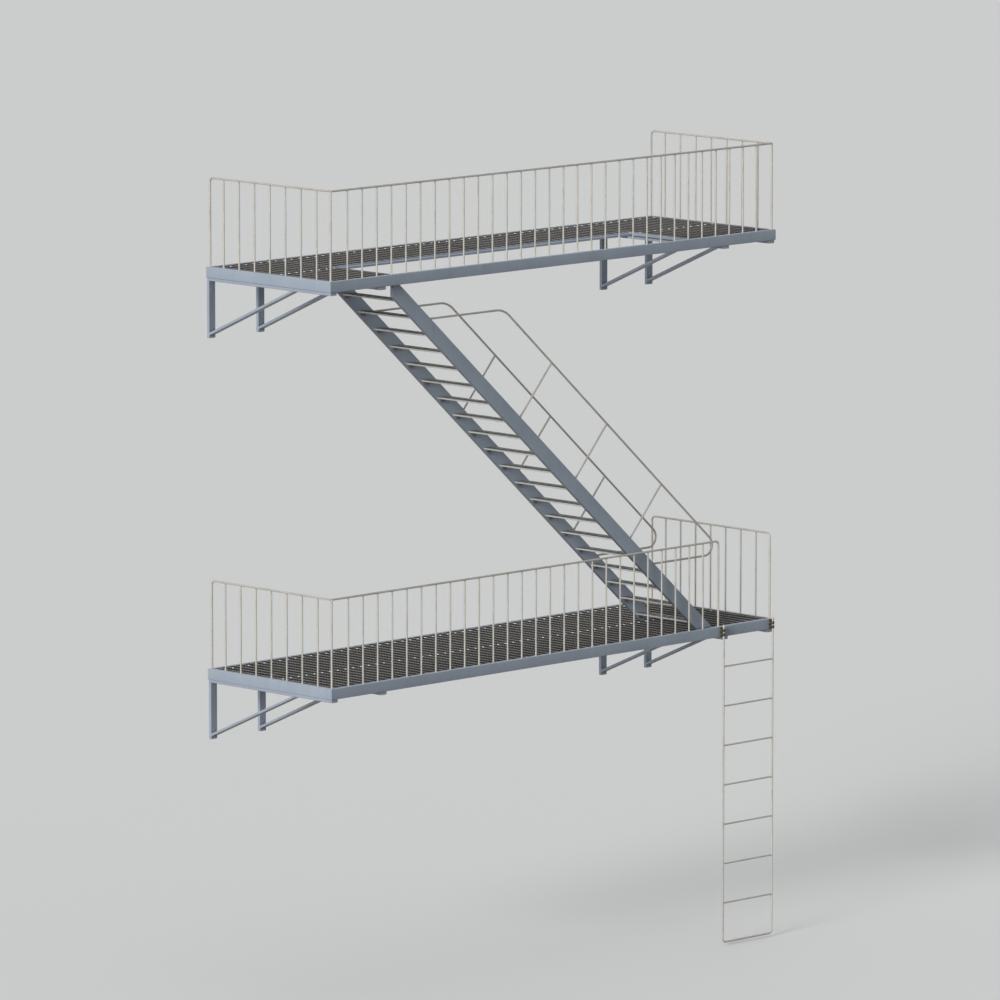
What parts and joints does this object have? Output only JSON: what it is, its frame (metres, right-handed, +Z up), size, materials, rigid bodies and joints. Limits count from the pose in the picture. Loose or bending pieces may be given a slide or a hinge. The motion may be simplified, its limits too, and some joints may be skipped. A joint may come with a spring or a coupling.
{
  "type": "wall fire escape stair",
  "caption": "Steel wall fire escape: two grating platforms with bar guards on wall brackets, a steep open stair between them and a fixed ladder below.",
  "frame": {"origin": "middle of the back face of the lower platform's left wall post, in the wall plane", "axes": "+X along the wall to the right as seen from the front, +Y into the wall, +Z up"},
  "size_m": [6.58, 1.9125, 8.568],
  "materials": {
    "frame_paint": "satin",
    "guard_bars": "satin",
    "grating_steel": "matte",
    "tread_steel": "matte",
    "handrail_bars": "satin",
    "clamp_brass": "satin"
  },
  "bodies": {
    "root": {"back_handrail": "handrail_bars", "back_handrail_posts": "handrail_bars", "back_stringer": "frame_paint", "front_handrail": "handrail_bars", "front_handrail_posts": "handrail_bars", "front_stringer": "frame_paint", "ladder_caps": "guard_bars", "ladder_clamps": "clamp_brass", "ladder_foot": "guard_bars", "ladder_rails": "guard_bars", "ladder_rungs": "guard_bars", "lower_bracket_arms": "frame_paint", "lower_bracket_braces": "frame_paint", "lower_front_beam": "frame_paint", "lower_front_guard": "guard_bars", "lower_grating": "grating_steel", "lower_joists": "frame_paint", "lower_left_beam": "frame_paint", "lower_left_guard": "guard_bars", "lower_right_beam": "frame_paint", "lower_right_guard": "guard_bars", "lower_wall_beam": "frame_paint", "lower_wall_posts": "frame_paint", "stairwell_trim": "frame_paint", "tread_01": "tread_steel", "tread_02": "tread_steel", "tread_03": "tread_steel", "tread_04": "tread_steel", "tread_05": "tread_steel", "tread_06": "tread_steel", "tread_07": "tread_steel", "tread_08": "tread_steel", "tread_09": "tread_steel", "tread_10": "tread_steel", "tread_11": "tread_steel", "tread_12": "tread_steel", "tread_13": "tread_steel", "tread_14": "tread_steel", "tread_15": "tread_steel", "tread_16": "tread_steel", "tread_17": "tread_steel", "tread_18": "tread_steel", "tread_19": "tread_steel", "tread_20": "tread_steel", "upper_bracket_arms": "frame_paint", "upper_bracket_braces": "frame_paint", "upper_front_beam": "frame_paint", "upper_front_guard": "guard_bars", "upper_grating_left": "grating_steel", "upper_grating_rear": "grating_steel", "upper_grating_right": "grating_steel", "upper_joists": "frame_paint", "upper_left_beam": "frame_paint", "upper_left_guard": "guard_bars", "upper_right_beam": "frame_paint", "upper_right_guard": "guard_bars", "upper_wall_beam": "frame_paint", "upper_wall_posts": "frame_paint"}
  },
  "joints": []
}
